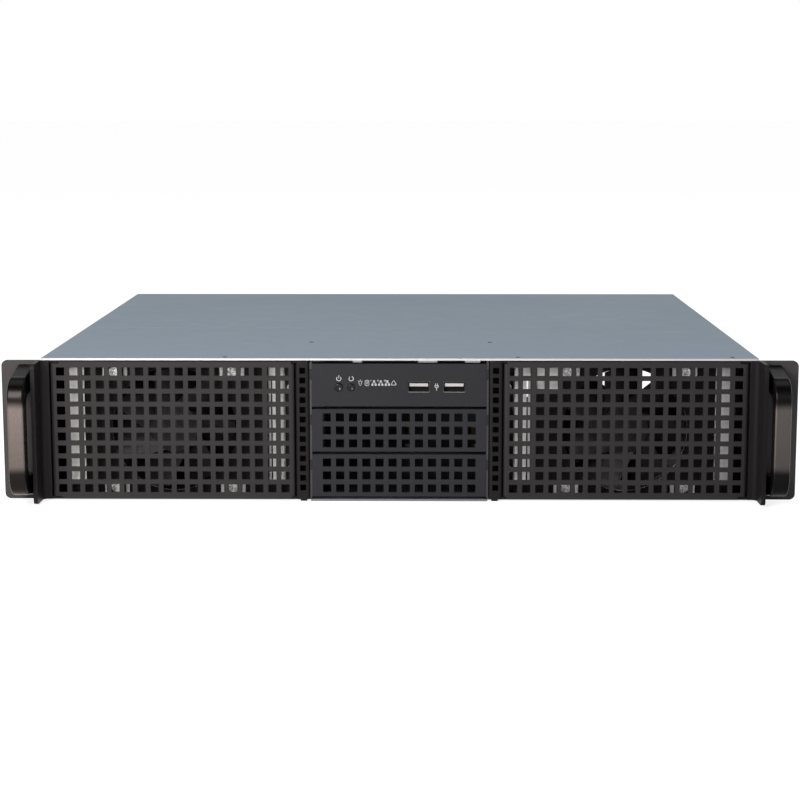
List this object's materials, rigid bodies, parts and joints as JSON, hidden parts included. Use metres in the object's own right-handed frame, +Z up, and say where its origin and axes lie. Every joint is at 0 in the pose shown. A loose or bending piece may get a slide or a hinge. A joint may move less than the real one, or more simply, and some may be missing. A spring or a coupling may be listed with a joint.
{
  "type": "empty rackmount server case",
  "caption": "Two-unit rackmount server case with perforated fan doors, D-handles on rack ears, two drive bays, a control panel and a removable zinc lid; empty inside.",
  "frame": {"origin": "centre of the bounding box at its lowest level, the underside of the tray", "axes": "+X to the right seen from the front, along the width between the rack ears; +Y from the front handles to the rear panel; +Z up"},
  "size_m": [0.4826, 0.437, 0.088],
  "materials": {
    "panel_black": "fine satin powder coat",
    "handle_black": "satin black",
    "zinc": "zinc-plated sheet steel, blue-grey",
    "fan_black": "moulded black plastic",
    "screw_steel": "bright nickel plate",
    "magnet": "nickel-plated magnet",
    "board_green": "green solder mask",
    "switch_black": "moulded",
    "button_black": "glossy black",
    "lamp_clear": "smoked light pipe",
    "port_steel": "bright nickel",
    "port_tongue": "white moulded plastic",
    "standoff_brass": "turned brass"
  },
  "bodies": {
    "root": {"bay_cover_lower": "panel_black", "bay_cover_middle": "panel_black", "blank_screws": "screw_steel", "chassis_tray": "zinc", "door_magnets_left": "magnet", "door_magnets_right": "magnet", "drive_cage": "zinc", "ear_left": "panel_black", "ear_right": "panel_black", "ear_screws_left": "screw_steel", "ear_screws_right": "screw_steel", "fan_bracket_left": "panel_black", "fan_bracket_right": "panel_black", "fan_frame_left": "fan_black", "fan_frame_right": "fan_black", "fan_screws_left": "screw_steel", "fan_screws_right": "screw_steel", "fan_wall_left": "zinc", "fan_wall_right": "zinc", "front_frame_left": "panel_black", "front_frame_right": "panel_black", "handle_left": "handle_black", "handle_right": "handle_black", "handle_screws_left": "screw_steel", "handle_screws_right": "screw_steel", "hinge_pins_left": "screw_steel", "hinge_pins_right": "screw_steel", "io_board": "board_green", "io_panel": "panel_black", "rear_panel": "zinc", "slot_blanks": "zinc", "standoffs": "standoff_brass", "status_lamps": "lamp_clear", "supply_bracket": "zinc", "switches": "switch_black", "thumbscrews": "screw_steel", "top_cover": "zinc", "top_plate": "zinc", "usb_shells": "port_steel", "usb_tongues": "port_tongue"},
    "left_door": {"grille_door_left": "panel_black"},
    "right_door": {"grille_door_right": "panel_black"},
    "left_rotor": {"fan_rotor_left": "fan_black"},
    "right_rotor": {"fan_rotor_right": "fan_black"},
    "power_key": {"power_button": "button_black"},
    "reset_key": {"reset_button": "button_black"}
  },
  "joints": [
    {"name": "left_door_hinge", "type": "hinge", "parent": "root", "child": "left_door", "pos_m": [-0.2082, -0.1823, 0.0439], "axis": [0, 0, -1], "range_deg": [0, 90]},
    {"name": "right_door_hinge", "type": "hinge", "parent": "root", "child": "right_door", "pos_m": [0.2082, -0.1823, 0.0439], "axis": [0, 0, 1], "range_deg": [0, 90]},
    {"name": "left_fan_spin", "type": "hinge", "parent": "root", "child": "left_rotor", "pos_m": [-0.138, -0.163, 0.0429], "axis": [0, -1, 0], "continuous": true},
    {"name": "right_fan_spin", "type": "hinge", "parent": "root", "child": "right_rotor", "pos_m": [0.138, -0.163, 0.0429], "axis": [0, -1, 0], "continuous": true},
    {"name": "power_press", "type": "slide", "parent": "root", "child": "power_key", "axis": [0, 1, 0], "range_m": [0, 0.0008], "stiffness_N_per_m": 300, "springref_m": -0.002},
    {"name": "reset_press", "type": "slide", "parent": "root", "child": "reset_key", "axis": [0, 1, 0], "range_m": [0, 0.0008], "stiffness_N_per_m": 300, "springref_m": -0.002}
  ]
}
